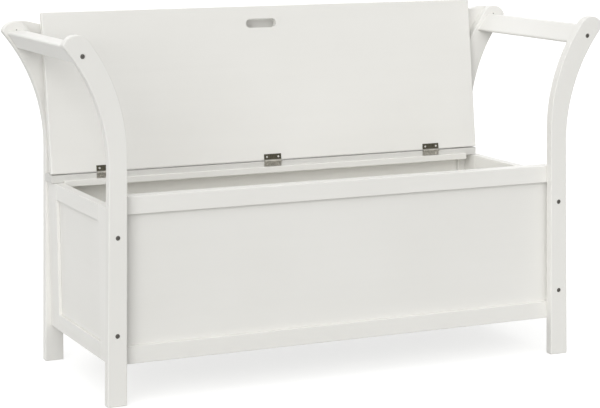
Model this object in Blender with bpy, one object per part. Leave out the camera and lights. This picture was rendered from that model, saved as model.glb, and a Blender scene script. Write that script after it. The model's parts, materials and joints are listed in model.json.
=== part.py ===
"""Hall bench with a lidded storage seat: splayed scroll legs, armrests, panelled box and a crest rail.

Metres, Z up. X runs along the bench, the front faces -Y, and the lid stands open at rest.
Side profiles are written from the outer foot corner: x grows inwards, z grows upwards.
"""
import math

import bmesh
import bpy
from mathutils import Matrix, Vector

# Clearances
FIT = 0.0003
GROOVE_FIT = 0.0003

# Whole bench, over the feet
LENGTH = 1.090
DEPTH = 0.4475

# Legs
LEG_THICKNESS = 0.0204
FOOT_WIDTH = 0.0415
OUTER_STRAIGHT = 0.480
OUTER_LEAN = 0.0265
INNER_STRAIGHT = 0.510
INNER_LEAN = 0.0203
SWEEP_RADIUS = 0.380
HEAD_RADIUS = 0.031
HEAD_TOP = 0.7565
HEAD_TIP_ANGLE = 161.2
TIP_ROUNDING = 0.004

# Armrests, as a slanted four-sided section round the head's centre
ARM_OUTER_TOP = (-0.0213, 0.0095)
ARM_INNER_TOP = (0.0177, 0.0120)
ARM_INNER_BOTTOM = (0.0467, -0.0280)
ARM_OUTER_BOTTOM = (0.0002, -0.0255)
ARM_ROUNDING = 0.004

# The box's underside, for its ends and for its long sides
BOX_BOTTOM = 0.0812

# Panelled ends
END_INSET = 0.0147
END_THICKNESS = 0.0213
END_BELOW_FRONT = 0.0210
STILE_WIDTH = 0.0627
END_TOP_RAIL_HEIGHT = 0.0347
END_BOTTOM_RAIL_HEIGHT = 0.0368
END_PANEL_RECESS = 0.0070

# Panels and their grooves
PANEL_THICKNESS = 0.0060
GROOVE_DEPTH = 0.0050

# Front frame
RAIL_DEPTH = 0.0300
FRONT_RAIL_TOP = 0.4273
FRONT_RAIL_HEIGHT = 0.0371
BOTTOM_RAIL_HEIGHT = 0.0373
FRONT_PANEL_RECESS = 0.0080

# Rear frame against the rear legs, and the hinge rail, which reaches forwards from them
HINGE_RAIL_REACH = 0.0504
HINGE_RAIL_THICKNESS = 0.0171
BATTEN_PROUD = 0.0080
BATTEN_DEPTH = 0.0300
BATTEN_HEIGHT = 0.0139
BATTEN_UNDER_RAIL = 0.0082
BATTEN_RIGHT_GAP = 0.0201
REAR_PANEL_RECESS = 0.0035
CORNER_BATTEN_WIDTH = 0.0200
CORNER_BATTEN_THICKNESS = 0.0055

# Storage floor
FLOOR_THICKNESS = 0.0060
FLOOR_PANEL_GAP = 0.0015

# Crest rail; its corners and its dip lie inwards of the head's centre by these distances
CREST_THICKNESS = 0.0160
CREST_BELOW_HEAD = 0.0007
CREST_END_HEIGHT = 0.0938
CREST_DIP = 0.0138
CREST_BOTTOM_CORNER = 0.0457
CREST_TOP_CORNER = -0.0023
CREST_DIP_START = 0.0177
CREST_DIP_END = 0.0927
CREST_ROUNDING = 0.0080

# Lid
LID_SHORTER = 0.0353
LID_OFFSET = -0.00875
LID_THICKNESS = 0.0150
LID_HINGE_GAP = 0.0022
SLOT_LENGTH = 0.0740
SLOT_WIDTH = 0.0200
SLOT_FROM_FRONT = 0.0390
SLOT_OFFSET = -0.0133

# Hinges
HINGE_WIDTH = 0.0420
HINGE_END_DISTANCE = 0.1234
HINGE_MIDDLE_OFFSET = -0.0040
LEAF_THICKNESS = 0.0012
LEAF_REACH = 0.0160
RAIL_LEAF_REACH = 0.0121
KNUCKLE_RADIUS = 0.0027
PIN_RADIUS = 0.0012
KNUCKLE_SHARE = 1 / 3
LEAF_SCREW_SPACING = 0.0282
LEAF_SCREW_SETBACK = 0.0095
RAIL_SCREW_SETBACK = 0.0076

# Screws
LEAF_SCREW_HEAD_RADIUS = 0.0023
LEAF_SCREW_SHANK_RADIUS = 0.0012
LEAF_SCREW_LENGTH = 0.0110
LEG_SCREW_HEAD_RADIUS = 0.0048
LEG_SCREW_HEAD_HEIGHT = 0.0028
LEG_SCREW_SHANK_RADIUS = 0.0020
LEG_SCREW_LENGTH = 0.0450
LEG_SCREW_SINK = 0.0009
LEG_SCREW_SOCKET_RADIUS = 0.0019
LEG_SCREW_SOCKET_DEPTH = 0.0016
ARM_SCREW = (0.0108, -0.0110)
LOWER_SCREW_HEIGHT = 0.1470
UPPER_SCREW_HEIGHT = 0.3480
CREST_SCREW_FROM_HEAD = 0.0367
CREST_SCREW_ABOVE = 0.0430
CREST_SCREW_LENGTH = 0.0300

# Eased edges
EDGE_ROUNDING = 0.0012
LID_EDGE_ROUNDING = 0.0020
LEG_EDGE_ROUNDING = 0.0016

# Steps of round stretches
SWEEP_STEPS = 16
HEAD_STEPS = 16
CORNER_STEPS = 5
DIP_STEPS = 10
SLOT_STEPS = 10
KNUCKLE_SIDES = 16
SCREW_SIDES = 16

# Places worked out from the sizes
FRONT_Y = -(DEPTH + FIT + CREST_THICKNESS) / 2
BACK_Y = FRONT_Y + DEPTH
LEG_BACK_Y = FRONT_Y + LEG_THICKNESS
REAR_LEG_FRONT_Y = BACK_Y - LEG_THICKNESS
FRAME_FRONT_Y = LEG_BACK_Y + FIT
FRAME_BACK_Y = REAR_LEG_FRONT_Y - FIT
END_INNER = END_INSET + END_THICKNESS
END_TOP = FRONT_RAIL_TOP - END_BELOW_FRONT
FRAME_HALF = LENGTH / 2 - END_INNER - FIT
LID_LENGTH = LENGTH - LID_SHORTER
CREST_END_TOP = HEAD_TOP - CREST_BELOW_HEAD
CREST_BOTTOM = CREST_END_TOP - CREST_END_HEIGHT
HINGE_FACE_Y = REAR_LEG_FRONT_Y - HINGE_RAIL_REACH
HINGE_RAIL_BOTTOM = END_TOP + FIT
HINGE_RAIL_TOP = HINGE_RAIL_BOTTOM + HINGE_RAIL_THICKNESS
BATTEN_FRONT_Y = HINGE_FACE_Y - BATTEN_PROUD
BATTEN_BOTTOM = END_TOP - BATTEN_UNDER_RAIL
REAR_PANEL_Y = FRAME_BACK_Y - REAR_PANEL_RECESS - PANEL_THICKNESS
LID_UNDERSIDE = FRONT_RAIL_TOP + FIT
AXIS_STAND_OFF = KNUCKLE_RADIUS + FIT
AXIS_Y = HINGE_FACE_Y - AXIS_STAND_OFF
AXIS_Z = LID_UNDERSIDE - AXIS_STAND_OFF
LID_BACK = -LID_HINGE_GAP
LID_FRONT = LEG_BACK_Y + FIT - AXIS_Y
PLATE_FAR = AXIS_STAND_OFF - FIT
PLATE_NEAR = PLATE_FAR - LEAF_THICKNESS


def remove_objects():
    for item in list(bpy.data.objects):
        bpy.data.objects.remove(item, do_unlink=True)


def make_material(name, colour, roughness, metallic=0.0):
    material = bpy.data.materials.new(name)
    material.use_nodes = True
    shader = material.node_tree.nodes["Principled BSDF"]
    shader.inputs["Base Color"].default_value = (*colour, 1.0)
    shader.inputs["Roughness"].default_value = roughness
    shader.inputs["Metallic"].default_value = metallic
    material.diffuse_color = (*colour, 1.0)
    return material


def painted_wood(name):
    return make_material(name + "_paint", (0.78, 0.77, 0.73), 0.42)


def plated_steel(name):
    return make_material(name + "_plate", (0.72, 0.70, 0.66), 0.22, 1.0)


def dark_steel(name):
    return make_material(name + "_steel", (0.09, 0.08, 0.07), 0.45, 1.0)


# Outlines
def on_circle(centre, radius, angle):
    return (centre[0] + radius * math.cos(angle), centre[1] + radius * math.sin(angle))


def arc(centre, radius, start, end, steps):
    """Points on an arc from one angle to another, both included."""
    return [on_circle(centre, radius, start + (end - start) * step / steps) for step in range(steps + 1)]


def angle_to(centre, point):
    return math.atan2(point[1] - centre[1], point[0] - centre[0])


def round_corner(before, corner, after, radius, steps=CORNER_STEPS):
    """The arc that rounds a corner between two straight stretches."""
    corner = Vector(corner)
    back = (Vector(before) - corner).normalized()
    ahead = (Vector(after) - corner).normalized()
    half = back.angle(ahead) / 2
    reach = radius / math.tan(half)
    centre = corner + (back + ahead).normalized() * radius / math.sin(half)
    first = angle_to(centre, corner + back * reach)
    last = angle_to(centre, corner + ahead * reach)
    turn = (last - first + math.pi) % (2 * math.pi) - math.pi
    return arc(centre, radius, first, first + turn, steps)


def rounded_polygon(corners, radius):
    points = []
    for index, corner in enumerate(corners):
        after = corners[(index + 1) % len(corners)]
        points.extend(round_corner(corners[index - 1], corner, after, radius))
    return points


def leg_centre(height):
    """The middle of a leg's straight stretch at a height."""
    return (FOOT_WIDTH + (OUTER_LEAN + INNER_LEAN) * height) / 2


def sweep_centre(foot, lean, straight, radius):
    """The centre of the sweep that carries a straight leg edge on outwards."""
    slope = math.atan(lean)
    return (foot + lean * straight - radius * math.cos(slope), straight + radius * math.sin(slope))


def inner_sweep_centre():
    return sweep_centre(FOOT_WIDTH, INNER_LEAN, INNER_STRAIGHT, SWEEP_RADIUS)


def head_centre():
    """The head's round lies inside the inner sweep and touches it."""
    centre = inner_sweep_centre()
    height = HEAD_TOP - HEAD_RADIUS
    reach = SWEEP_RADIUS - HEAD_RADIUS
    return (centre[0] + math.sqrt(reach ** 2 - (height - centre[1]) ** 2), height)


def from_head(place):
    head = head_centre()
    return (head[0] + place[0], head[1] + place[1])


def outer_sweep_radius(tip):
    """The radius of the sweep that leaves the straight outer edge smoothly and ends at the tip."""
    slope = math.atan(OUTER_LEAN)
    way = Vector(tip) - Vector((OUTER_LEAN * OUTER_STRAIGHT, OUTER_STRAIGHT))
    aside = way.y * math.sin(slope) - way.x * math.cos(slope)
    return way.length_squared / (2 * aside)


def leg_outline():
    head = head_centre()
    tip_angle = math.radians(HEAD_TIP_ANGLE)
    tip = on_circle(head, HEAD_RADIUS, tip_angle)
    outer_radius = outer_sweep_radius(tip)
    outer_centre = sweep_centre(0.0, OUTER_LEAN, OUTER_STRAIGHT, outer_radius)
    inner_centre = inner_sweep_centre()
    head_start = angle_to(inner_centre, head)
    tip_back = tip_angle - TIP_ROUNDING / HEAD_RADIUS
    tip_on = angle_to(outer_centre, tip) - TIP_ROUNDING / outer_radius
    tip_from = on_circle(head, HEAD_RADIUS, tip_back)
    tip_to = on_circle(outer_centre, outer_radius, tip_on)
    points = [(0.0, 0.0), (FOOT_WIDTH, 0.0)]
    points.extend(arc(inner_centre, SWEEP_RADIUS, -math.atan(INNER_LEAN), head_start, SWEEP_STEPS))
    points.extend(arc(head, HEAD_RADIUS, head_start, tip_back, HEAD_STEPS)[1:])
    points.extend(soft_tip(tip_from, tip, tip_to))
    points.extend(reversed(arc(outer_centre, outer_radius, -math.atan(OUTER_LEAN), tip_on, SWEEP_STEPS)))
    return points


def soft_tip(start, corner, end):
    """A quadratic curve over the leg's outer tip, its end points left out."""
    points = []
    for step in range(1, CORNER_STEPS):
        share = step / CORNER_STEPS
        way = [(1 - share) ** 2 * a + 2 * share * (1 - share) * b + share ** 2 * c
               for a, b, c in zip(start, corner, end)]
        points.append(tuple(way))
    return points


def crest_half():
    """The crest rail's left end, from its bottom corner up and inwards."""
    middle = head_centre()[0]
    bottom = (middle + CREST_BOTTOM_CORNER, CREST_BOTTOM)
    top = (middle + CREST_TOP_CORNER, CREST_END_TOP)
    dip_start = (middle + CREST_DIP_START, CREST_END_TOP)
    points = [bottom]
    points.extend(round_corner(bottom, top, dip_start, CREST_ROUNDING))
    for step in range(DIP_STEPS + 1):
        share = step / DIP_STEPS
        inset = dip_start[0] + (CREST_DIP_END - CREST_DIP_START) * share
        fall = (1 - math.cos(math.pi * share)) / 2
        points.append((inset, CREST_END_TOP - CREST_DIP * fall))
    return points


def lid_lean():
    """How far the open lid leans back, until its end just clears the rear leg's inner sweep."""
    centre = inner_sweep_centre()
    lid_end = LENGTH / 2 - LID_LENGTH / 2 - abs(LID_OFFSET)
    height = centre[1] + math.sqrt(SWEEP_RADIUS ** 2 - (lid_end - centre[0]) ** 2)
    away = Vector((REAR_LEG_FRONT_Y - FIT - AXIS_Y, height - AXIS_Z))
    return math.acos((AXIS_STAND_OFF + LID_THICKNESS) / away.length) - math.atan2(away.y, away.x)


# Meshes
def add_object(name, mesh, material):
    item = bpy.data.objects.new(name, mesh)
    bpy.context.collection.objects.link(item)
    mesh.materials.append(material)
    return item


def mesh_from(bm, name):
    bmesh.ops.recalc_face_normals(bm, faces=bm.faces)
    mesh = bpy.data.meshes.new(name)
    bm.to_mesh(mesh)
    bm.free()
    return mesh


def prism_mesh(name, outline, low, high, place):
    """A prism: the outline's two numbers and a level from low to high, put in place by a function."""
    bm = bmesh.new()
    floor = [bm.verts.new(place(a, b, low)) for a, b in outline]
    bottom = bm.faces.new(floor)
    lifted = bmesh.ops.extrude_face_region(bm, geom=[bottom])
    shift = Vector(place(0.0, 0.0, high)) - Vector(place(0.0, 0.0, low))
    verts = [item for item in lifted["geom"] if isinstance(item, bmesh.types.BMVert)]
    bmesh.ops.translate(bm, verts=verts, vec=shift)
    bmesh.ops.remove_doubles(bm, verts=bm.verts, dist=0.00001)
    return mesh_from(bm, name)


def box_mesh(name, low, high):
    bm = bmesh.new()
    bmesh.ops.create_cube(bm, size=1.0)
    low = Vector(low)
    high = Vector(high)
    size = high - low
    bmesh.ops.scale(bm, vec=size, verts=bm.verts)
    bmesh.ops.translate(bm, vec=(low + high) / 2, verts=bm.verts)
    return mesh_from(bm, name)


def turned_mesh(name, profile, sides, along):
    """A turned solid: profile of (radius, level) from one end to the other, levels along a direction."""
    bm = bmesh.new()
    rings = []
    for radius, level in profile:
        ring = bmesh.ops.create_circle(bm, segments=sides, radius=radius,
                                       matrix=Matrix.Translation((0.0, 0.0, level)))["verts"]
        rings.append(ring)
    for lower, upper in zip(rings, rings[1:]):
        for index in range(sides):
            after = (index + 1) % sides
            bm.faces.new((lower[index], lower[after], upper[after], upper[index]))
    bm.faces.new(rings[0])
    bm.faces.new(rings[-1])
    turn = Vector((0.0, 0.0, 1.0)).rotation_difference(Vector(along)).to_matrix()
    bmesh.ops.rotate(bm, matrix=turn, verts=bm.verts)
    return mesh_from(bm, name)


def ease_edges(item, width, segments=2):
    bevel = item.modifiers.new("eased_edges", "BEVEL")
    bevel.width = width
    bevel.segments = segments
    bevel.limit_method = "ANGLE"
    bevel.angle_limit = math.radians(40)
    bevel.harden_normals = False


def smooth_round(item):
    item.data.shade_smooth()
    item.data.set_sharp_from_angle(angle=math.radians(35))


def as_tool(item):
    item.hide_render = True
    item.display_type = "WIRE"


def join_or_cut(item, tool, operation):
    as_tool(tool)
    step = item.modifiers.new(operation.lower() + "_" + tool.name, "BOOLEAN")
    step.operation = operation
    step.solver = "EXACT"
    step.object = tool


def add_box(name, low, high, material=None, rounding=EDGE_ROUNDING):
    item = add_object(name, box_mesh(name, low, high), material or painted_wood(name))
    if rounding:
        ease_edges(item, rounding)
    return item


def cut_box(item, low, high):
    name = item.name + "_cut" + str(len(item.modifiers))
    tool = add_object(name, box_mesh(name, low, high), item.data.materials[0])
    join_or_cut(item, tool, "DIFFERENCE")
    return tool


def join_box(item, low, high):
    name = item.name + "_add" + str(len(item.modifiers))
    tool = add_object(name, box_mesh(name, low, high), item.data.materials[0])
    join_or_cut(item, tool, "UNION")
    return tool


def cut_bore(item, point, along, profile):
    name = item.name + "_bore" + str(len(item.modifiers))
    tool = add_object(name, turned_mesh(name, profile, SCREW_SIDES, along), item.data.materials[0])
    tool.location = point
    join_or_cut(item, tool, "DIFFERENCE")
    return tool


def world_x(side, inset):
    """World X of a distance inwards from a side's outer foot corner; side is -1 left, 1 right."""
    return side * (LENGTH / 2 - inset)


def span_x(side, inset_a, inset_b):
    return sorted((world_x(side, inset_a), world_x(side, inset_b)))


# Screws
def leg_screw_profile(length):
    head = LEG_SCREW_HEAD_RADIUS
    shank = LEG_SCREW_SHANK_RADIUS
    under = LEG_SCREW_HEAD_HEIGHT
    return [(head * 0.86, 0.0), (head, LEG_SCREW_SINK / 3), (head, under), (shank, under),
            (shank, length - shank * 2), (shank * 0.3, length)]


def leg_screw_bore(length):
    """The hole for a leg screw, from outside the leg's face to past the screw's point."""
    head = LEG_SCREW_HEAD_RADIUS + FIT
    shank = LEG_SCREW_SHANK_RADIUS + FIT
    under = LEG_SCREW_HEAD_HEIGHT + FIT
    return [(head, -LEG_SCREW_SINK * 2), (head, under), (shank, under), (shank, length + FIT)]


def add_leg_screw(name, point, along, length, pieces):
    """A screw whose head sits just below a face, with its hole through the pieces it joins."""
    start = Vector(point) + Vector(along) * LEG_SCREW_SINK
    mesh = turned_mesh(name, leg_screw_profile(length), SCREW_SIDES, along)
    item = add_object(name, mesh, dark_steel(name))
    item.location = start
    smooth_round(item)
    socket_name = name + "_socket"
    socket = [(LEG_SCREW_SOCKET_RADIUS, -LEG_SCREW_SINK), (LEG_SCREW_SOCKET_RADIUS, LEG_SCREW_SOCKET_DEPTH)]
    tool = add_object(socket_name, turned_mesh(socket_name, socket, 6, along), item.data.materials[0])
    tool.location = start
    join_or_cut(item, tool, "DIFFERENCE")
    for piece in pieces:
        cut_bore(piece, start, along, leg_screw_bore(length))
    return item


# The wooden pieces
def add_leg(name, side, low_y):
    def place(inset, height, level):
        return (world_x(side, inset), level, height)
    mesh = prism_mesh(name, leg_outline(), low_y, low_y + LEG_THICKNESS, place)
    leg = add_object(name, mesh, painted_wood(name))
    ease_edges(leg, LEG_EDGE_ROUNDING)
    return leg


def arm_corners():
    corners = (ARM_OUTER_TOP, ARM_INNER_TOP, ARM_INNER_BOTTOM, ARM_OUTER_BOTTOM)
    return [from_head(corner) for corner in corners]


def add_armrest(name, side):
    def place(inset, height, level):
        return (world_x(side, inset), level, height)
    outline = rounded_polygon(arm_corners(), ARM_ROUNDING)
    mesh = prism_mesh(name, outline, FRAME_FRONT_Y, FRAME_BACK_Y, place)
    return add_object(name, mesh, painted_wood(name))


def end_groove_x(side, clearance):
    return span_x(side, END_INSET + END_PANEL_RECESS - clearance,
                  END_INSET + END_PANEL_RECESS + PANEL_THICKNESS + clearance)


def add_end_stile(name, side, low_y, groove_y):
    """A stile with the panel's groove down its inner edge; groove_y is the groove's near and far Y."""
    x = span_x(side, END_INSET, END_INNER)
    stile = add_box(name, (x[0], low_y, BOX_BOTTOM), (x[1], low_y + STILE_WIDTH, END_TOP))
    groove = end_groove_x(side, GROOVE_FIT)
    cut_box(stile, (groove[0], groove_y[0], BOX_BOTTOM - FIT), (groove[1], groove_y[1], END_TOP + FIT))
    return stile


def add_end_rail(name, side, low_y, high_y, low_z, high_z, groove_up):
    """A rail between the stiles, with stub tenons in their grooves and a groove for the panel."""
    x = span_x(side, END_INSET, END_INNER)
    rail = add_box(name, (x[0], low_y, low_z), (x[1], high_y, high_z))
    tenon = end_groove_x(side, 0.0)
    reach = GROOVE_DEPTH - GROOVE_FIT
    inside = EDGE_ROUNDING * 2
    trim = EDGE_ROUNDING
    join_box(rail, (tenon[0], low_y - FIT - reach, low_z + trim), (tenon[1], low_y + inside, high_z - trim))
    join_box(rail, (tenon[0], high_y - inside, low_z + trim), (tenon[1], high_y + FIT + reach, high_z - trim))
    groove = end_groove_x(side, GROOVE_FIT)
    over = GROOVE_DEPTH + FIT
    ends = (low_y - GROOVE_DEPTH - over, high_y + GROOVE_DEPTH + over)
    if groove_up:
        levels = (high_z - GROOVE_DEPTH, high_z + over)
    else:
        levels = (low_z - over, low_z + GROOVE_DEPTH)
    cut_box(rail, (groove[0], ends[0], levels[0]), (groove[1], ends[1], levels[1]))
    return rail


def add_end_frame(side, word):
    front_low = FRAME_FRONT_Y
    front_high = front_low + STILE_WIDTH
    rear_high = FRAME_BACK_Y
    rear_low = rear_high - STILE_WIDTH
    front = add_end_stile(word + "_end_front_stile", side, front_low,
                          (front_high - GROOVE_DEPTH, front_high + FIT))
    rear = add_end_stile(word + "_end_rear_stile", side, rear_low, (rear_low - FIT, rear_low + GROOVE_DEPTH))
    low_y = front_high + FIT
    high_y = rear_low - FIT
    rail_bottom = END_TOP - END_TOP_RAIL_HEIGHT
    rail_top = BOX_BOTTOM + END_BOTTOM_RAIL_HEIGHT
    add_end_rail(word + "_end_top_rail", side, low_y, high_y, rail_bottom, END_TOP, False)
    add_end_rail(word + "_end_bottom_rail", side, low_y, high_y, BOX_BOTTOM, rail_top, True)
    reach = GROOVE_DEPTH - GROOVE_FIT
    x = end_groove_x(side, 0.0)
    add_box(word + "_end_panel", (x[0], front_high - reach, rail_top - reach),
            (x[1], rear_low + reach, rail_bottom + reach), rounding=0.0)
    return front, rear


def add_front_frame():
    low_y = FRAME_FRONT_Y
    high_y = low_y + RAIL_DEPTH
    panel_y = low_y + FRONT_PANEL_RECESS
    rail_bottom = FRONT_RAIL_TOP - FRONT_RAIL_HEIGHT
    rail_top = BOX_BOTTOM + BOTTOM_RAIL_HEIGHT
    top = add_box("front_top_rail", (-FRAME_HALF, low_y, rail_bottom), (FRAME_HALF, high_y, FRONT_RAIL_TOP))
    bottom = add_box("front_bottom_rail", (-FRAME_HALF, low_y, BOX_BOTTOM),
                     (FRAME_HALF, high_y, rail_top))
    cut_panel_groove(top, panel_y, rail_bottom - GROOVE_DEPTH, rail_bottom + GROOVE_DEPTH)
    cut_panel_groove(bottom, panel_y, rail_top - GROOVE_DEPTH, rail_top + GROOVE_DEPTH)
    add_long_panel("front_panel", panel_y, rail_top, rail_bottom)


def cut_panel_groove(rail, panel_y, low_z, high_z):
    over = FRAME_HALF + FIT
    near_y = panel_y - GROOVE_FIT
    far_y = panel_y + PANEL_THICKNESS + GROOVE_FIT
    cut_box(rail, (-over, near_y, low_z), (over, far_y, high_z))


def add_long_panel(name, panel_y, low_z, high_z):
    reach = GROOVE_DEPTH - GROOVE_FIT
    low = (-FRAME_HALF, panel_y, low_z - reach)
    high = (FRAME_HALF, panel_y + PANEL_THICKNESS, high_z + reach)
    add_box(name, low, high, rounding=0.0)


def add_rear_batten():
    """The batten in front of and under the hinge rail; it stops short of the box's right end."""
    high_x = FRAME_HALF - BATTEN_RIGHT_GAP
    high_y = BATTEN_FRONT_Y + BATTEN_DEPTH
    top = BATTEN_BOTTOM + BATTEN_HEIGHT
    batten = add_box("rear_top_batten", (-FRAME_HALF, BATTEN_FRONT_Y, BATTEN_BOTTOM), (high_x, high_y, top))
    cut_box(batten, (-FRAME_HALF - FIT, HINGE_FACE_Y - FIT, END_TOP), (high_x + FIT, high_y + FIT, top + FIT))


def add_rear_frame(hinge_rail):
    rail_top = BOX_BOTTOM + BOTTOM_RAIL_HEIGHT
    bottom = add_box("rear_bottom_rail", (-FRAME_HALF, FRAME_BACK_Y - RAIL_DEPTH, BOX_BOTTOM),
                     (FRAME_HALF, FRAME_BACK_Y, rail_top))
    cut_panel_groove(hinge_rail, REAR_PANEL_Y, HINGE_RAIL_BOTTOM - GROOVE_DEPTH,
                     HINGE_RAIL_BOTTOM + GROOVE_DEPTH)
    cut_panel_groove(bottom, REAR_PANEL_Y, rail_top - GROOVE_DEPTH, rail_top + GROOVE_DEPTH)
    add_long_panel("rear_panel", REAR_PANEL_Y, rail_top, HINGE_RAIL_BOTTOM)
    floor_top = rail_top + FIT + FLOOR_THICKNESS
    batten_y = REAR_PANEL_Y - FIT - CORNER_BATTEN_THICKNESS
    for side, word in ((-1, "left"), (1, "right")):
        x = sorted((side * FRAME_HALF, side * (FRAME_HALF - CORNER_BATTEN_WIDTH)))
        add_box(word + "_corner_batten", (x[0], batten_y, floor_top + FIT),
                (x[1], REAR_PANEL_Y - FIT, HINGE_RAIL_BOTTOM - FIT))


def add_hinge_rail():
    low_x = LID_OFFSET - LID_LENGTH / 2
    high_x = LID_OFFSET + LID_LENGTH / 2
    return add_box("rear_hinge_rail", (low_x, HINGE_FACE_Y, HINGE_RAIL_BOTTOM),
                   (high_x, FRAME_BACK_Y, HINGE_RAIL_TOP))


def add_storage_floor():
    low_y = FRAME_FRONT_Y + FRONT_PANEL_RECESS + PANEL_THICKNESS + FLOOR_PANEL_GAP
    high_y = REAR_PANEL_Y - FLOOR_PANEL_GAP
    low_z = BOX_BOTTOM + BOTTOM_RAIL_HEIGHT + FIT
    add_box("storage_floor", (-FRAME_HALF, low_y, low_z), (FRAME_HALF, high_y, low_z + FLOOR_THICKNESS),
            rounding=0.0)


def add_crest_rail():
    half = crest_half()
    outline = [(world_x(-1, inset), height) for inset, height in half]
    outline.extend((world_x(1, inset), height) for inset, height in reversed(half))
    mesh = prism_mesh("crest_rail", outline, BACK_Y + FIT, BACK_Y + FIT + CREST_THICKNESS,
                      lambda x, z, level: (x, level, z))
    crest = add_object("crest_rail", mesh, painted_wood("crest_rail"))
    ease_edges(crest, EDGE_ROUNDING)
    return crest


# The lid and its hinges, drawn shut about the hinge line and turned open by their parent
def hinge_places():
    reach = LID_LENGTH / 2 - HINGE_END_DISTANCE
    return (("left", LID_OFFSET - reach), ("middle", LID_OFFSET + HINGE_MIDDLE_OFFSET),
            ("right", LID_OFFSET + reach))


def add_lid_axis():
    axis = bpy.data.objects.new("lid_axis", None)
    bpy.context.collection.objects.link(axis)
    axis.location = (0.0, AXIS_Y, AXIS_Z)
    axis.rotation_euler = (-math.radians(90) - lid_lean(), 0.0, 0.0)
    return axis


def hang_on(item, axis):
    item.parent = axis


def add_lid(axis):
    low_x = LID_OFFSET - LID_LENGTH / 2
    high_x = LID_OFFSET + LID_LENGTH / 2
    lid_top = AXIS_STAND_OFF + LID_THICKNESS
    lid = add_box("lid", (low_x, LID_FRONT, AXIS_STAND_OFF), (high_x, LID_BACK, lid_top),
                  rounding=LID_EDGE_ROUNDING)
    hang_on(lid, axis)
    radius = SLOT_WIDTH / 2
    reach = SLOT_LENGTH / 2 - radius
    centre = (LID_OFFSET + SLOT_OFFSET, LID_FRONT + SLOT_FROM_FRONT)
    outline = arc((centre[0] + reach, centre[1]), radius, -math.pi / 2, math.pi / 2, SLOT_STEPS)
    outline.extend(arc((centre[0] - reach, centre[1]), radius, math.pi / 2, math.pi * 3 / 2, SLOT_STEPS))
    mesh = prism_mesh("lid_slot", outline, 0.0, AXIS_STAND_OFF * 2 + LID_THICKNESS, lambda x, y, z: (x, y, z))
    tool = add_object("lid_slot", mesh, lid.data.materials[0])
    hang_on(tool, axis)
    join_or_cut(lid, tool, "DIFFERENCE")
    return lid


def knuckle_outline(steps=KNUCKLE_SIDES):
    """A knuckle round the hinge line with its leaf running off level: (along the leaf, off the line)."""
    tail = KNUCKLE_RADIUS + FIT + LEAF_THICKNESS
    join = -math.sqrt(KNUCKLE_RADIUS ** 2 - PLATE_NEAR ** 2)
    start = math.atan2(PLATE_NEAR, join)
    points = arc((0.0, 0.0), KNUCKLE_RADIUS, start, math.pi * 2 + math.pi / 2, steps)
    points.append((-tail, PLATE_FAR))
    points.append((-tail, PLATE_NEAR))
    return points


def add_leaf(name, middle_x, spans, reach, place):
    """A hinge leaf: a plate off the hinge line and a knuckle for each span along X."""
    material = plated_steel(name)
    near = KNUCKLE_RADIUS + FIT
    half = HINGE_WIDTH / 2
    corners = [(-near, PLATE_NEAR), (-near, PLATE_FAR), (-reach, PLATE_FAR), (-reach, PLATE_NEAR)]
    leaf = add_object(name, prism_mesh(name, corners, middle_x - half, middle_x + half, place), material)
    for number, (low, high) in enumerate(spans):
        part_name = name + "_knuckle" + str(number)
        mesh = prism_mesh(part_name, knuckle_outline(), middle_x + low, middle_x + high, place)
        join_or_cut(leaf, add_object(part_name, mesh, material), "UNION")
    bore = turned_mesh(name + "_bore", [(PIN_RADIUS + FIT, -half - FIT), (PIN_RADIUS + FIT, half + FIT)],
                       KNUCKLE_SIDES, (1.0, 0.0, 0.0))
    tool = add_object(name + "_bore", bore, material)
    tool.location = place(0.0, 0.0, middle_x)
    join_or_cut(leaf, tool, "DIFFERENCE")
    return leaf


def leaf_screw_profile(clearance):
    """A leaf screw, or with a clearance its hole, whose rings keep off the faces that it cuts."""
    head = LEAF_SCREW_HEAD_RADIUS + clearance
    shank = LEAF_SCREW_SHANK_RADIUS + clearance
    deeper = clearance / 2
    if clearance:
        return [(head, -LEAF_THICKNESS), (head, deeper), (shank, LEAF_THICKNESS + deeper),
                (shank, LEAF_SCREW_LENGTH + clearance)]
    return [(head, 0.0), (shank, LEAF_THICKNESS), (shank, LEAF_SCREW_LENGTH - shank * 2),
            (shank * 0.3, LEAF_SCREW_LENGTH)]


def add_leaf_screws(word, middle_x, place, setback, along, pieces, axis=None):
    """Two countersunk screws through a leaf into the wood behind it."""
    for sign, end in ((-1, "a"), (1, "b")):
        name = word + "_screw_" + end
        point = place(-setback, PLATE_NEAR, middle_x + sign * LEAF_SCREW_SPACING / 2)
        mesh = turned_mesh(name, leaf_screw_profile(0.0), SCREW_SIDES, along)
        screw = add_object(name, mesh, plated_steel(name))
        screw.location = point
        smooth_round(screw)
        tools = [cut_bore(piece, point, along, leaf_screw_profile(FIT)) for piece in pieces]
        if axis:
            for item in [screw] + tools:
                hang_on(item, axis)


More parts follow.
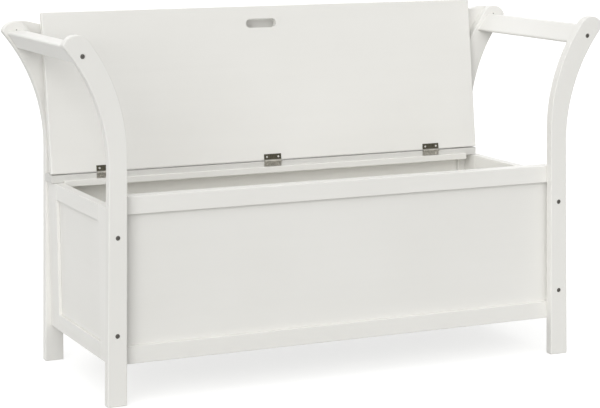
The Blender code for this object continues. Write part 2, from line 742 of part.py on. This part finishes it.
def add_hinge(word, middle_x, lid, rail, axis):
    half = HINGE_WIDTH / 2
    split = HINGE_WIDTH * KNUCKLE_SHARE / 2
    gap = FIT / 2
    middle_span = [(-split + gap, split - gap)]
    outer_spans = [(-half, -split - gap), (split + gap, half)]

    def on_lid(along, off, x):
        return (x, along, off)

    def on_rail(along, off, x):
        return (x, AXIS_Y + off, AXIS_Z + along)

    lid_leaf = add_leaf(word + "_hinge_lid_leaf", middle_x, middle_span, LEAF_REACH, on_lid)
    rail_leaf = add_leaf(word + "_hinge_rail_leaf", middle_x, outer_spans, RAIL_LEAF_REACH, on_rail)
    for item in [lid_leaf] + [step.object for step in lid_leaf.modifiers]:
        hang_on(item, axis)
    add_leaf_screws(word + "_lid_leaf", middle_x, on_lid, LEAF_SCREW_SETBACK, (0.0, 0.0, 1.0),
                    [lid_leaf, lid], axis)
    add_leaf_screws(word + "_rail_leaf", middle_x, on_rail, RAIL_SCREW_SETBACK, (0.0, 1.0, 0.0),
                    [rail_leaf, rail])
    pin_name = word + "_hinge_pin"
    pin_profile = [(PIN_RADIUS * 0.7, -half), (PIN_RADIUS, -half + PIN_RADIUS / 2),
                   (PIN_RADIUS, half - PIN_RADIUS / 2), (PIN_RADIUS * 0.7, half)]
    pin = add_object(pin_name, turned_mesh(pin_name, pin_profile, KNUCKLE_SIDES, (1.0, 0.0, 0.0)),
                     plated_steel(pin_name))
    pin.location = on_rail(0.0, 0.0, middle_x)
    smooth_round(pin)


def build_sides(crest):
    """Both ends: legs, armrests, end frames and the screws that join them."""
    arm_x, arm_z = from_head(ARM_SCREW)
    crest_screw = (head_centre()[0] + CREST_SCREW_FROM_HEAD, CREST_BOTTOM + CREST_SCREW_ABOVE)
    for side, word in ((-1, "left"), (1, "right")):
        front_leg = add_leg(word + "_front_leg", side, FRONT_Y)
        rear_leg = add_leg(word + "_rear_leg", side, REAR_LEG_FRONT_Y)
        armrest = add_armrest(word + "_armrest", side)
        front_stile, rear_stile = add_end_frame(side, word)
        joints = (("lower", leg_centre(LOWER_SCREW_HEIGHT), LOWER_SCREW_HEIGHT, front_stile),
                  ("upper", leg_centre(UPPER_SCREW_HEIGHT), UPPER_SCREW_HEIGHT, front_stile),
                  ("arm", arm_x, arm_z, armrest))
        for level, inset, height, piece in joints:
            add_leg_screw(word + "_front_" + level + "_screw", (world_x(side, inset), FRONT_Y, height),
                          (0.0, 1.0, 0.0), LEG_SCREW_LENGTH, [front_leg, piece])
        add_leg_screw(word + "_rear_upper_screw",
                      (world_x(side, leg_centre(UPPER_SCREW_HEIGHT)), BACK_Y, UPPER_SCREW_HEIGHT),
                      (0.0, -1.0, 0.0), LEG_SCREW_LENGTH, [rear_leg, rear_stile])
        add_leg_screw(word + "_crest_screw",
                      (world_x(side, crest_screw[0]), BACK_Y + FIT + CREST_THICKNESS, crest_screw[1]),
                      (0.0, -1.0, 0.0), CREST_SCREW_LENGTH, [crest, rear_leg])


def build_bench():
    remove_objects()
    crest = add_crest_rail()
    build_sides(crest)
    add_front_frame()
    rail = add_hinge_rail()
    add_rear_batten()
    add_rear_frame(rail)
    add_storage_floor()
    axis = add_lid_axis()
    lid = add_lid(axis)
    for word, middle_x in hinge_places():
        add_hinge(word, middle_x, lid, rail, axis)


build_bench()
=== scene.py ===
"""Looks for the hall bench: satin paint over wood with painted light and painted shade on a few boards,
bright and dark metal with a painted dark reflection on the lid leaves, a pale studio.
"""

import json
import math

import bmesh
import bpy
from mathutils import Euler, Matrix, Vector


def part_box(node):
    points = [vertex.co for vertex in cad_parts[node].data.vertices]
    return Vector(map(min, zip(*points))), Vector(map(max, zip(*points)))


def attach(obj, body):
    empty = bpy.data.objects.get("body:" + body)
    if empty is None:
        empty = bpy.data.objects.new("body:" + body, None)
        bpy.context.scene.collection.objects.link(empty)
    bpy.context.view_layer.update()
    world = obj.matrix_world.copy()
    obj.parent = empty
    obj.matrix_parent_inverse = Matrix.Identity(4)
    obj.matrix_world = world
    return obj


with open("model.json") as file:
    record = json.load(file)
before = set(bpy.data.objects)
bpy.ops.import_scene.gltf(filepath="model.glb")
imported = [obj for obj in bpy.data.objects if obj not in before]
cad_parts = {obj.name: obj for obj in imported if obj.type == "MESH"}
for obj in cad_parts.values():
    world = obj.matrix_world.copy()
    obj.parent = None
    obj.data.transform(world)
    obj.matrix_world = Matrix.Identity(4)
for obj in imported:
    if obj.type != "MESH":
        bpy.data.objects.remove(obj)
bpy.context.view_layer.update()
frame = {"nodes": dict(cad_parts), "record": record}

# The camera, at the photograph's place and angle
CAMERA_PLACE = (-1.7311, -3.7807, 1.0430)
CAMERA_YAW = 24.470
CAMERA_PITCH = 9.525
CAMERA_ROLL = -0.171
CAMERA_LENS = 113.86
CAMERA_SENSOR = 36.0

# Paint
PAINT_COLOUR = (0.800, 0.792, 0.762)
PAINT_SHADE = (0.768, 0.760, 0.727)
PAINT_ROUGHNESS = (0.36, 0.50)
PAINT_SHIFT = (1.7, 0.9, 2.3)
GRAIN_SCALE = 34.0
GRAIN_STRETCH = 0.045
GRAIN_DETAIL = 6.0
GRAIN_ROUGHNESS = 0.62
GRAIN_BUMP = 0.10
GRAIN_SHARE = 0.45
SKIN_SCALE = 420.0
SKIN_DETAIL = 2.0
SKIN_BUMP = 0.06
CLOUD_SCALE = 3.2
CLOUD_DETAIL = 3.0
CLOUD_RANGE = (0.3, 0.7)
MOTTLE_RANGE = (0.45, 1.0)
PAINT_BUMP_DEPTH = 0.0004

# Painted shade and painted light on some boards: the hinge rail darker as painted shade under the open
# lid, the rear panel and storage floor lighter as painted light inside the box, the front panel a touch
# darker as painted shade
PAINTED_LIGHT_AND_SHADE_TONES = {"rear_hinge_rail": 0.82, "rear_panel": 1.14, "storage_floor": 1.16, "front_panel": 0.985}

# Worn paint along the edges
WORN_COLOUR = (0.690, 0.672, 0.615)
WORN_WIDTH = 0.0022
WORN_SHARE = 0.55
WORN_PATCH_SCALE = 55.0
WORN_PATCH_DETAIL = 3.0
WORN_PATCH_RANGE = (0.42, 0.60)
EDGE_SAMPLES = 4
EDGE_RANGE = (0.99, 0.75)

# Metal
PLATE_COLOUR = (0.50, 0.48, 0.435)
PLATE_ROUGHNESS = 0.32
SCREW_COLOUR = (0.74, 0.72, 0.67)
SCREW_ROUGHNESS = 0.24
# Painted dark reflection on the lid leaves, which are of the same metal as the rail leaves and knuckles
LID_LEAF_PAINTED_REFLECTION_COLOUR = (0.105, 0.098, 0.072)
LID_LEAF_ROUGHNESS = 0.38
STEEL_COLOUR = (0.145, 0.138, 0.127)
STEEL_ROUGHNESS = 0.42
METAL_SHIFT = (0.7, 1.3, 0.4)
BRUSH_STRETCH = (0.06, 1.0, 1.0)
BRUSH_SCALE = 2600.0
BRUSH_DETAIL = 3.0
BRUSH_RANGE = (0.3, 0.7)
BRUSH_SMOOTHER = 0.06
BRUSH_ROUGHER = 0.10
BRUSH_BUMP = 0.12
BRUSH_BUMP_DEPTH = 0.0001
SPOT_SCALE = 320.0
SPOT_DETAIL = 4.0
SPOT_ROUGHNESS = 0.6
SPOT_RANGE = (0.4, 0.68)
SPOT_TONE = 0.62
KNUCKLE_TOP = 0.4278
KNUCKLE_BLUR = 0.0003

# Nail heads in the rear legs, just above the armrests
NAIL_REACH = 0.5909
NAIL_HEIGHT = 0.7384
NAIL_RADIUS = 0.0012
NAIL_PROUD = 0.0005
NAIL_STAND_OFF = 0.00002
NAIL_PROFILE = ((1.0, 0.0), (1.0, 0.35), (0.86, 0.75), (0.5, 0.96))
NAIL_SIDES = 20

# Light
WORLD_LIGHT = 0.38
KEY_LIGHT = 1.42
KEY_ANGLES = (17.0, -38.0)
KEY_SOFTNESS = 40.0
HIGH_LIGHT = 1.40
HIGH_ANGLES = (58.0, -38.0)
HIGH_SOFTNESS = 80.0
REAR_LIGHT = 0.60
REAR_ANGLES = (32.0, 150.0)
REAR_SOFTNESS = 80.0
WHITE = (1.0, 1.0, 1.0, 1.0)
FLOOR_COLOUR = (0.44, 0.44, 0.43)
FLOOR_ROUGHNESS = 0.9
FLOOR_LIFT = 0.68
FLOOR_HALF = 60.0

# Shader nodes
PLAIN_SCALE = (1.0, 1.0, 1.0)
PLAIN_ROUGHNESS = 0.5
MIX_SHARE = 0
MIX_FIRST = 6
MIX_SECOND = 7
MIX_RESULT = 2


def grain_axis(node):
    """The axis along which a board's grain runs: its longest side."""
    low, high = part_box(node)
    sides = [high[axis] - low[axis] for axis in range(3)]
    return sides.index(max(sides))


def new_material(name):
    """A new material, with its nodes, its links and its shader."""
    material = bpy.data.materials.new(name)
    material.use_nodes = True
    nodes = material.node_tree.nodes
    return material, nodes, material.node_tree.links, nodes["Principled BSDF"]


def noise(nodes, links, vector, scale, detail, roughness=PLAIN_ROUGHNESS):
    texture = nodes.new("ShaderNodeTexNoise")
    texture.inputs["Scale"].default_value = scale
    texture.inputs["Detail"].default_value = detail
    texture.inputs["Roughness"].default_value = roughness
    links.new(vector, texture.inputs["Vector"])
    return texture.outputs["Fac"]


def spread(nodes, links, value, low, high, to_low, to_high):
    """Maps a value's useful range onto another range, and holds it at the ends."""
    step = nodes.new("ShaderNodeMapRange")
    step.inputs["From Min"].default_value = low
    step.inputs["From Max"].default_value = high
    step.inputs["To Min"].default_value = to_low
    step.inputs["To Max"].default_value = to_high
    links.new(value, step.inputs["Value"])
    return step.outputs["Result"]


def mix_colours(nodes, links, share, first, second):
    """Two colours, each plain numbers or another node's output, mixed by a share."""
    mix = nodes.new("ShaderNodeMix")
    mix.data_type = "RGBA"
    for socket, colour in ((mix.inputs[MIX_FIRST], first), (mix.inputs[MIX_SECOND], second)):
        if isinstance(colour, tuple):
            socket.default_value = (*colour, 1.0)
        else:
            links.new(colour, socket)
    links.new(share, mix.inputs[MIX_SHARE])
    return mix.outputs[MIX_RESULT]


def multiply(nodes, links, first, second):
    step = nodes.new("ShaderNodeMath")
    step.operation = "MULTIPLY"
    links.new(first, step.inputs[0])
    links.new(second, step.inputs[1])
    return step.outputs[0]


def add_scaled(nodes, links, value, scale, other):
    """One value times a plain number, plus another value."""
    step = nodes.new("ShaderNodeMath")
    step.operation = "MULTIPLY_ADD"
    links.new(value, step.inputs[0])
    step.inputs[1].default_value = scale
    links.new(other, step.inputs[2])
    return step.outputs[0]


def near_edges(nodes, links, width):
    """1 on a sharp edge and 0 on flat wood: how far a rounded normal turns from the true one."""
    rounded = nodes.new("ShaderNodeBevel")
    rounded.samples = EDGE_SAMPLES
    rounded.inputs["Radius"].default_value = width
    geometry = nodes.new("ShaderNodeNewGeometry")
    dot = nodes.new("ShaderNodeVectorMath")
    dot.operation = "DOT_PRODUCT"
    links.new(rounded.outputs["Normal"], dot.inputs[0])
    links.new(geometry.outputs["Normal"], dot.inputs[1])
    return spread(nodes, links, dot.outputs["Value"], *EDGE_RANGE, 0.0, 1.0)


def above(nodes, links, level, blur):
    """1 above a height in a node's own coordinates and 0 below it."""
    coordinates = nodes.new("ShaderNodeTexCoord")
    split = nodes.new("ShaderNodeSeparateXYZ")
    links.new(coordinates.outputs["Object"], split.inputs["Vector"])
    return spread(nodes, links, split.outputs["Z"], level - blur, level + blur, 0.0, 1.0)


def bump(nodes, links, height, strength, distance, before=None):
    """A bumped normal, laid over an earlier one where there is one."""
    step = nodes.new("ShaderNodeBump")
    step.inputs["Strength"].default_value = strength
    step.inputs["Distance"].default_value = distance
    links.new(height, step.inputs["Height"])
    if before:
        links.new(before, step.inputs["Normal"])
    return step.outputs["Normal"]


def place_on(nodes, links, scale, shift):
    """Object coordinates, stretched and shifted, so that no two pieces share their pattern."""
    coordinates = nodes.new("ShaderNodeTexCoord")
    mapping = nodes.new("ShaderNodeMapping")
    mapping.inputs["Scale"].default_value = scale
    mapping.inputs["Location"].default_value = shift
    links.new(coordinates.outputs["Object"], mapping.inputs["Vector"])
    return mapping.outputs["Vector"]


def numbered_shift(number, step):
    """A piece's own shift of its pattern, by its number."""
    return tuple(number * part for part in step)


def toned(colour, tone):
    return tuple(channel * tone for channel in colour)


def painted_wood(name, axis, number, tone=1.0):
    """Satin off-white paint: faint grain under it, a fine rolled skin, slow tone changes, worn edges."""
    material, nodes, links, shader = new_material(name)
    shift = numbered_shift(number, PAINT_SHIFT)
    stretch = list(PLAIN_SCALE)
    stretch[axis] = GRAIN_STRETCH
    along = place_on(nodes, links, stretch, shift)
    plain = place_on(nodes, links, PLAIN_SCALE, shift)
    grain = noise(nodes, links, along, GRAIN_SCALE, GRAIN_DETAIL, GRAIN_ROUGHNESS)
    skin = noise(nodes, links, plain, SKIN_SCALE, SKIN_DETAIL)
    cloud = noise(nodes, links, plain, CLOUD_SCALE, CLOUD_DETAIL)

    mottle = add_scaled(nodes, links, grain, GRAIN_SHARE, cloud)
    share = spread(nodes, links, mottle, *MOTTLE_RANGE, 0.0, 1.0)
    # A tone other than 1 paints shade or light into this board's paint
    paint = mix_colours(nodes, links, share, toned(PAINT_COLOUR, tone), toned(PAINT_SHADE, tone))

    patch_noise = noise(nodes, links, plain, WORN_PATCH_SCALE, WORN_PATCH_DETAIL)
    patches = spread(nodes, links, patch_noise, *WORN_PATCH_RANGE, 0.0, WORN_SHARE)
    worn = multiply(nodes, links, near_edges(nodes, links, WORN_WIDTH), patches)
    colour = mix_colours(nodes, links, worn, paint, toned(WORN_COLOUR, tone))
    links.new(colour, shader.inputs["Base Color"])

    rough = spread(nodes, links, cloud, *CLOUD_RANGE, *PAINT_ROUGHNESS)
    links.new(rough, shader.inputs["Roughness"])
    under = bump(nodes, links, grain, GRAIN_BUMP, PAINT_BUMP_DEPTH)
    normal = bump(nodes, links, skin, SKIN_BUMP, PAINT_BUMP_DEPTH, under)
    links.new(normal, shader.inputs["Normal"])
    return material


def brushed_metal(name, colour, roughness, number, knuckle_colour=None):
    """Metal with fine brushed lines along X, which its gloss follows, and faint darker spots.

    A leaf with another colour on its knuckle takes that colour below the knuckle's top.
    """
    material, nodes, links, shader = new_material(name)
    shader.inputs["Metallic"].default_value = 1.0
    shift = numbered_shift(number, METAL_SHIFT)
    brushed = place_on(nodes, links, BRUSH_STRETCH, shift)
    lines = noise(nodes, links, brushed, BRUSH_SCALE, BRUSH_DETAIL)
    plain = place_on(nodes, links, PLAIN_SCALE, shift)
    spots = noise(nodes, links, plain, SPOT_SCALE, SPOT_DETAIL, SPOT_ROUGHNESS)

    share = spread(nodes, links, spots, *SPOT_RANGE, 0.0, 1.0)
    plate = mix_colours(nodes, links, share, colour, toned(colour, SPOT_TONE))
    if knuckle_colour:
        on_leaf = above(nodes, links, KNUCKLE_TOP, KNUCKLE_BLUR)
        plate = mix_colours(nodes, links, on_leaf, knuckle_colour, plate)
    links.new(plate, shader.inputs["Base Color"])

    rough = spread(nodes, links, lines, *BRUSH_RANGE,
                   roughness - BRUSH_SMOOTHER, roughness + BRUSH_ROUGHER)
    links.new(rough, shader.inputs["Roughness"])
    normal = bump(nodes, links, lines, BRUSH_BUMP, BRUSH_BUMP_DEPTH)
    links.new(normal, shader.inputs["Normal"])
    return material


def finish_of(node, slot, number):
    """The material of one CAD node, by its slot in the record and its name."""
    if slot == "painted_wood":
        # The tones listed for some boards are painted shade or painted light; the rest keep 1
        tone = PAINTED_LIGHT_AND_SHADE_TONES.get(node, 1.0)
        return painted_wood("paint_" + node, grain_axis(node), number, tone)
    if slot == "dark_steel":
        return brushed_metal("steel_" + node, STEEL_COLOUR, STEEL_ROUGHNESS, number)
    # The lid leaf is coloured dark as a painted reflection; its knuckle keeps the plate colour
    if node.endswith("hinge_lid_leaf"):
        return brushed_metal("painted_reflection_" + node, LID_LEAF_PAINTED_REFLECTION_COLOUR, LID_LEAF_ROUGHNESS, number, PLATE_COLOUR)
    if "_screw_" in node:
        return brushed_metal("screw_" + node, SCREW_COLOUR, SCREW_ROUGHNESS, number)
    return brushed_metal("plate_" + node, PLATE_COLOUR, PLATE_ROUGHNESS, number)


def dress_frame():
    """Every carried CAD node gets its own finish."""
    slots = {part["node"]: part["material_slot"] for part in frame["record"]["subparts"]}
    for number, node in enumerate(sorted(frame["nodes"])):
        material = finish_of(node, slots[node], number)
        for slot in frame["nodes"][node].material_slots:
            slot.material = material


def add_object(name, data):
    thing = bpy.data.objects.new(name, data)
    bpy.context.scene.collection.objects.link(thing)
    return thing


def mesh_from(name, bm):
    """A mesh of what was drawn, which is then let go."""
    mesh = bpy.data.meshes.new(name)
    bm.to_mesh(mesh)
    bm.free()
    return mesh


def nail_ring(bm, x, face, share, level):
    """One ring of a nail head, at a share of its radius and a share of its height."""
    reach = NAIL_RADIUS * share
    ring = []
    for side in range(NAIL_SIDES):
        angle = 2 * math.pi * side / NAIL_SIDES
        place = (x + reach * math.cos(angle), face - NAIL_PROUD * level,
                 NAIL_HEIGHT + reach * math.sin(angle))
        ring.append(bm.verts.new(place))
    return ring


def add_nail(name, x, number):
    """A small domed nail head on the front face of a rear leg."""
    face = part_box("left_rear_leg")[0][1] - NAIL_STAND_OFF
    bm = bmesh.new()
    rings = [nail_ring(bm, x, face, share, level) for share, level in NAIL_PROFILE]
    tip = bm.verts.new((x, face - NAIL_PROUD, NAIL_HEIGHT))
    for side in range(NAIL_SIDES):
        after = (side + 1) % NAIL_SIDES
        for lower, upper in zip(rings, rings[1:]):
            bm.faces.new((lower[side], lower[after], upper[after], upper[side]))
        bm.faces.new((rings[-1][side], rings[-1][after], tip))
    bm.faces.new(rings[0])
    bmesh.ops.recalc_face_normals(bm, faces=bm.faces)
    mesh = mesh_from(name, bm)
    mesh.shade_smooth()
    nail = add_object(name, mesh)
    mesh.materials.append(brushed_metal("steel_" + name, STEEL_COLOUR, STEEL_ROUGHNESS, number))
    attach(nail, "bench")


# The studio
def add_camera():
    data = bpy.data.cameras.new("camera")
    data.lens = CAMERA_LENS
    data.sensor_width = CAMERA_SENSOR
    data.sensor_fit = "HORIZONTAL"
    camera = add_object("camera", data)
    aim = Euler((math.radians(90 - CAMERA_PITCH), 0.0, -math.radians(CAMERA_YAW))).to_matrix()
    turn = Matrix.Rotation(math.radians(CAMERA_ROLL), 3, "Z")
    camera.matrix_world = Matrix.Translation(CAMERA_PLACE) @ (aim @ turn).to_4x4()
    bpy.context.scene.camera = camera


def add_sun(name, strength, elevation, azimuth, softness):
    """A soft sun; azimuth 0 shines along +Y, and -45 comes from the front left."""
    data = bpy.data.lights.new(name, "SUN")
    data.energy = strength
    data.angle = math.radians(softness)
    lamp = add_object(name, data)
    lamp.rotation_euler = Euler((math.radians(90 - elevation), 0.0, math.radians(azimuth)))


def seen_directly(nodes, links):
    """1 where a camera, glossy or transmission ray looks, and 0 for light that falls on the object."""
    path = nodes.new("ShaderNodeLightPath")
    total = path.outputs["Is Camera Ray"]
    for name in ("Is Glossy Ray", "Is Transmission Ray"):
        step = nodes.new("ShaderNodeMath")
        step.operation = "ADD"
        step.use_clamp = True
        links.new(total, step.inputs[0])
        links.new(path.outputs[name], step.inputs[1])
        total = step.outputs[0]
    return total


def add_world():
    """White where it is seen directly, and weaker as a light on the object."""
    world = bpy.data.worlds.new("studio")
    world.use_nodes = True
    nodes = world.node_tree.nodes
    links = world.node_tree.links
    background = nodes["Background"]
    background.inputs["Color"].default_value = WHITE
    strength = spread(nodes, links, seen_directly(nodes, links), 0.0, 1.0, WORLD_LIGHT, 1.0)
    links.new(strength, background.inputs["Strength"])
    bpy.context.scene.world = world


def add_floor():
    """A mid grey floor that keeps the shadow, and is lifted to near white where it is seen directly."""
    bm = bmesh.new()
    bmesh.ops.create_grid(bm, x_segments=1, y_segments=1, size=FLOOR_HALF)
    mesh = mesh_from("floor", bm)
    floor = add_object("floor", mesh)
    material, nodes, links, shader = new_material("floor_paper")
    shader.inputs["Base Color"].default_value = (*FLOOR_COLOUR, 1.0)
    shader.inputs["Roughness"].default_value = FLOOR_ROUGHNESS
    shader.inputs["Emission Color"].default_value = WHITE
    lift = spread(nodes, links, seen_directly(nodes, links), 0.0, 1.0, 0.0, FLOOR_LIFT)
    links.new(lift, shader.inputs["Emission Strength"])
    mesh.materials.append(material)


def build_studio():
    add_camera()
    add_world()
    add_floor()
    add_sun("key_light", KEY_LIGHT, *KEY_ANGLES, KEY_SOFTNESS)
    add_sun("high_light", HIGH_LIGHT, *HIGH_ANGLES, HIGH_SOFTNESS)
    add_sun("rear_light", REAR_LIGHT, *REAR_ANGLES, REAR_SOFTNESS)
    bpy.context.scene.view_settings.view_transform = "Standard"


dress_frame()
add_nail("left_rear_nail", -NAIL_REACH, len(frame["nodes"]))
add_nail("right_rear_nail", NAIL_REACH, len(frame["nodes"]) + 1)
build_studio()
